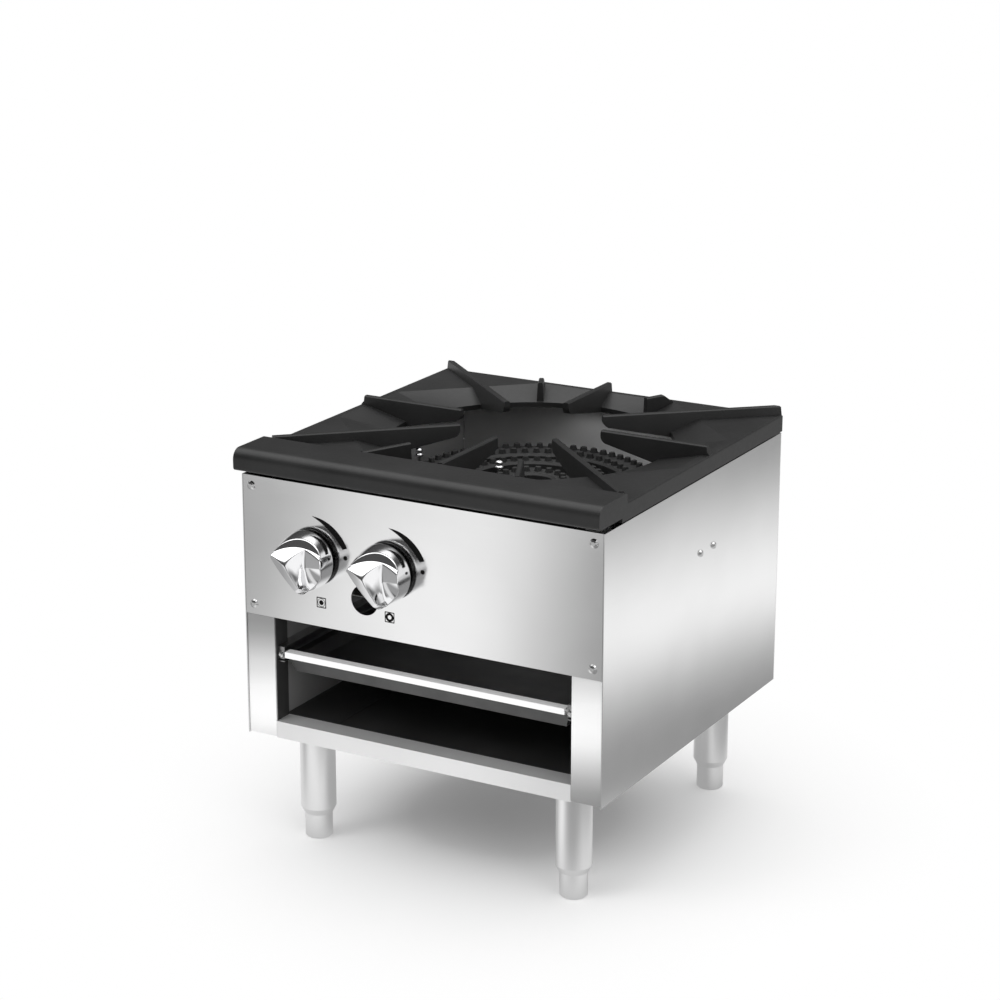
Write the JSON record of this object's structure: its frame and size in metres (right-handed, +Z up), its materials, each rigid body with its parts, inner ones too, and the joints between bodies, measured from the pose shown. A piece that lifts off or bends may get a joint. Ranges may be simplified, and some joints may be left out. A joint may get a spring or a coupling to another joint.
{
  "type": "stock pot range",
  "caption": "Low floor-standing gas range with one large ring burner under a finned cast-iron top, two control knobs, an open shelf with a drip tray, and four adjustable legs.",
  "frame": {"origin": "on the floor under the middle of the whole range, knobs and gas inlet included", "axes": "+Z up; -Y towards the cook, so the knobs face -Y; +X to the cook's right"},
  "size_m": [0.463, 0.5394, 0.4775],
  "materials": {
    "polished_steel": "bright polished stainless steel",
    "satin_steel": "satin stainless steel",
    "shelf_black": "dark sheet steel",
    "liner_steel": "dull aluminised steel",
    "tray_steel": "plain sheet steel",
    "top_iron": "matt black coated cast iron",
    "burner_iron": "raw dark cast iron",
    "knob_chrome": "chromed die casting",
    "brass": "machined brass",
    "black_pipe": "black pipe",
    "aluminium_tube": "plain drawn tube",
    "leg_steel": "brushed stainless tube",
    "fastener_steel": "bright plated steel"
  },
  "bodies": {
    "range": {"back_panel": "satin_steel", "back_screws": "fastener_steel", "base_channel_left": "satin_steel", "base_channel_right": "satin_steel", "burner_hanger_left": "satin_steel", "burner_hanger_right": "satin_steel", "burner_support_back": "satin_steel", "burner_support_front": "satin_steel", "control_panel": "polished_steel", "fire_box_back": "liner_steel", "fire_box_front": "liner_steel", "floor_pan_left": "shelf_black", "floor_pan_right": "shelf_black", "front_post_left": "satin_steel", "front_post_right": "satin_steel", "front_rail": "satin_steel", "gas_inlet_pipe": "black_pipe", "gas_manifold": "black_pipe", "guide_screws": "fastener_steel", "inner_burner": "burner_iron", "inner_wall_left": "liner_steel", "inner_wall_right": "liner_steel", "leg_back_left": "leg_steel", "leg_back_right": "leg_steel", "leg_front_left": "leg_steel", "leg_front_right": "leg_steel", "leg_nuts": "fastener_steel", "orifice_left": "brass", "orifice_right": "brass", "outer_burner": "burner_iron", "panel_screws": "fastener_steel", "pilot_head_inner": "fastener_steel", "pilot_head_outer": "fastener_steel", "pilot_tube_inner": "aluminium_tube", "pilot_tube_outer": "aluminium_tube", "pilot_valve_inner": "brass", "pilot_valve_outer": "brass", "side_panel_left": "polished_steel", "side_panel_right": "polished_steel", "side_screws": "fastener_steel", "tray_guide_left": "satin_steel", "tray_guide_right": "satin_steel", "valve_body_left": "brass", "valve_body_right": "brass"},
    "top": {"cast_iron_top": "top_iron"},
    "tray": {"drip_tray": "tray_steel"},
    "control_left": {"knob_left": "knob_chrome", "valve_stem_left": "fastener_steel"},
    "shutter_left": {"air_shutter_left": "satin_steel"},
    "levelling_foot_front_left": {"foot_front_left": "leg_steel"},
    "levelling_foot_back_left": {"foot_back_left": "leg_steel"},
    "control_right": {"knob_right": "knob_chrome", "valve_stem_right": "fastener_steel"},
    "shutter_right": {"air_shutter_right": "satin_steel"},
    "levelling_foot_front_right": {"foot_front_right": "leg_steel"},
    "levelling_foot_back_right": {"foot_back_right": "leg_steel"}
  },
  "joints": [
    {"name": "top_lift", "type": "slide", "parent": "range", "child": "top", "axis": [0, 0, 1], "range_m": [0, 0.1]},
    {"name": "tray_slide", "type": "slide", "parent": "range", "child": "tray", "axis": [0, -1, 0], "range_m": [0, 0.38]},
    {"name": "knob_left_turn", "type": "hinge", "parent": "range", "child": "control_left", "pos_m": [-0.1385, -0.23925, 0.3605], "axis": [0, -1, 0], "range_deg": [0, 90]},
    {"name": "shutter_left_turn", "type": "hinge", "parent": "range", "child": "shutter_left", "pos_m": [-0.1385, -0.15525, 0.3605], "axis": [0, -1, 0], "range_deg": [0, 60]},
    {"name": "foot_front_left_level", "type": "slide", "parent": "range", "child": "levelling_foot_front_left", "axis": [0, 0, -1], "range_m": [0, 0.025]},
    {"name": "foot_back_left_level", "type": "slide", "parent": "range", "child": "levelling_foot_back_left", "axis": [0, 0, -1], "range_m": [0, 0.025]},
    {"name": "knob_right_turn", "type": "hinge", "parent": "range", "child": "control_right", "pos_m": [-0.0385, -0.23925, 0.3605], "axis": [0, -1, 0], "range_deg": [0, 90]},
    {"name": "shutter_right_turn", "type": "hinge", "parent": "range", "child": "shutter_right", "pos_m": [-0.0385, -0.15525, 0.3605], "axis": [0, -1, 0], "range_deg": [0, 60]},
    {"name": "foot_front_right_level", "type": "slide", "parent": "range", "child": "levelling_foot_front_right", "axis": [0, 0, -1], "range_m": [0, 0.025]},
    {"name": "foot_back_right_level", "type": "slide", "parent": "range", "child": "levelling_foot_back_right", "axis": [0, 0, -1], "range_m": [0, 0.025]}
  ]
}
